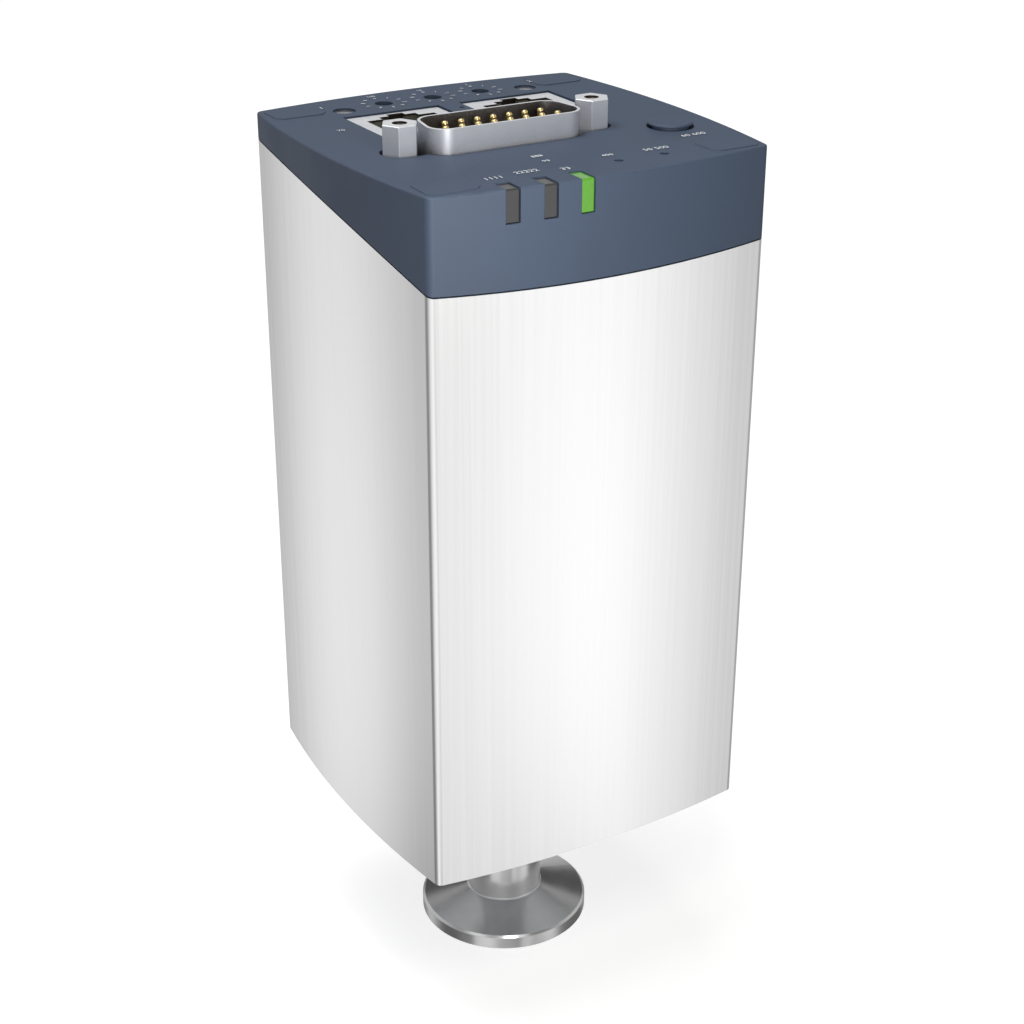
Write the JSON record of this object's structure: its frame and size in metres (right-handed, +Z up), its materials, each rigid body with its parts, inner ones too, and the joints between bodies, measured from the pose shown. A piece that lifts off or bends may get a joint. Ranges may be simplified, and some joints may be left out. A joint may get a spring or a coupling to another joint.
{
  "type": "capacitance diaphragm gauge",
  "caption": "Vacuum gauge in a tall bowed square housing with a plastic cap of connectors on top and a small clamp flange below.",
  "frame": {"origin": "centre of the vacuum flange's sealing face, on the axis of the port and the housing", "axes": "+Z up along the port towards the cap, -Y towards the side with the three status lights, +X to its right"},
  "size_m": [0.0626, 0.0626, 0.1494],
  "materials": {
    "turned_steel": "turned stainless steel, fine circular marks",
    "screw_steel": "plain steel screws",
    "brushed_sleeve": "steel brushed along its height",
    "plate_aluminium": "plain aluminium",
    "blue_plastic": "grey-blue moulded plastic with a fine grain",
    "insulator": "dark brown moulded plastic",
    "brass": "plain brass",
    "gold": "thin gold plating",
    "nickel": "bright nickel plating",
    "black_plastic": "black moulded plastic",
    "grey_plastic": "grey moulded plastic",
    "board": "green lacquered circuit board",
    "ceramic": "sintered alumina",
    "glass": "fused glass seal",
    "amber_film": "amber polyimide film",
    "foam": "stiff white insulating foam",
    "smoked_pipe": "smoky clear plastic, unlit",
    "lit_pipe": "clear plastic, lit green from below",
    "pale_window": "milky clear plastic",
    "white_ink": "printed white marks on the cap"
  },
  "bodies": {
    "housing": {"vacuum_port": "turned_steel", "port_baffle": "turned_steel", "port_screws": "screw_steel", "base_plate": "plate_aluminium", "housing_sleeve": "brushed_sleeve", "top_cap": "blue_plastic", "cap_inserts": "brass", "tie_screws": "screw_steel", "spacers_lower": "plate_aluminium", "spacers_middle": "plate_aluminium", "spacers_upper": "plate_aluminium", "spacers_top": "plate_aluminium", "insulation_base": "foam", "insulation_ring": "foam", "insulation_lid": "foam", "heater_base": "plate_aluminium", "heater_can": "plate_aluminium", "heater_foil": "amber_film", "sensor_base": "turned_steel", "ceramic_housing": "ceramic", "ceramic_diaphragm": "ceramic", "glass_seals": "glass", "ceramic_backplate": "ceramic", "getter_capsule": "turned_steel", "sensor_cage": "turned_steel", "sensor_contacts": "gold", "sensor_board": "board", "sensor_flex": "amber_film", "power_board": "board", "power_parts": "black_plastic", "main_board": "board", "main_parts": "black_plastic", "connector_board": "board", "panel_board": "board", "board_headers": "black_plastic", "d_sub_front_shell": "nickel", "d_sub_rear_shell": "nickel", "d_sub_insulator": "insulator", "d_sub_pins": "gold", "d_sub_spacers": "nickel", "jack_screws": "nickel", "jack_shield_left": "nickel", "jack_shield_right": "nickel", "jack_insert_left": "grey_plastic", "jack_insert_right": "grey_plastic", "jack_contacts": "gold", "address_switch_bodies": "black_plastic", "light_pipe_1": "smoked_pipe", "light_pipe_2": "smoked_pipe", "light_pipe_3": "lit_pipe", "link_windows": "pale_window", "board_leds": "pale_window", "button_bodies": "black_plastic", "service_jack": "black_plastic", "service_plug": "blue_plastic"},
    "address_rotor_1": {"address_rotor_1": "black_plastic"},
    "address_rotor_2": {"address_rotor_2": "black_plastic"},
    "address_rotor_3": {"address_rotor_3": "black_plastic"},
    "button_plunger_1": {"button_plunger_1": "black_plastic"},
    "button_plunger_2": {"button_plunger_2": "black_plastic"}
  },
  "joints": [
    {"name": "address_switch_1_turn", "type": "hinge", "parent": "housing", "child": "address_rotor_1", "pos_m": [-0.00875, 0.0238, 0.1425], "axis": [0, 0, 1], "continuous": true},
    {"name": "address_switch_2_turn", "type": "hinge", "parent": "housing", "child": "address_rotor_2", "pos_m": [0.0002, 0.0238, 0.1425], "axis": [0, 0, 1], "continuous": true},
    {"name": "address_switch_3_turn", "type": "hinge", "parent": "housing", "child": "address_rotor_3", "pos_m": [0.00915, 0.0238, 0.1425], "axis": [0, 0, 1], "continuous": true},
    {"name": "button_1_press", "type": "slide", "parent": "housing", "child": "button_plunger_1", "axis": [0, 0, -1], "range_m": [0, 0.0003], "stiffness_N_per_m": 4000, "springref_m": -0.0001},
    {"name": "button_2_press", "type": "slide", "parent": "housing", "child": "button_plunger_2", "axis": [0, 0, -1], "range_m": [0, 0.0003], "stiffness_N_per_m": 4000, "springref_m": -0.0001}
  ]
}
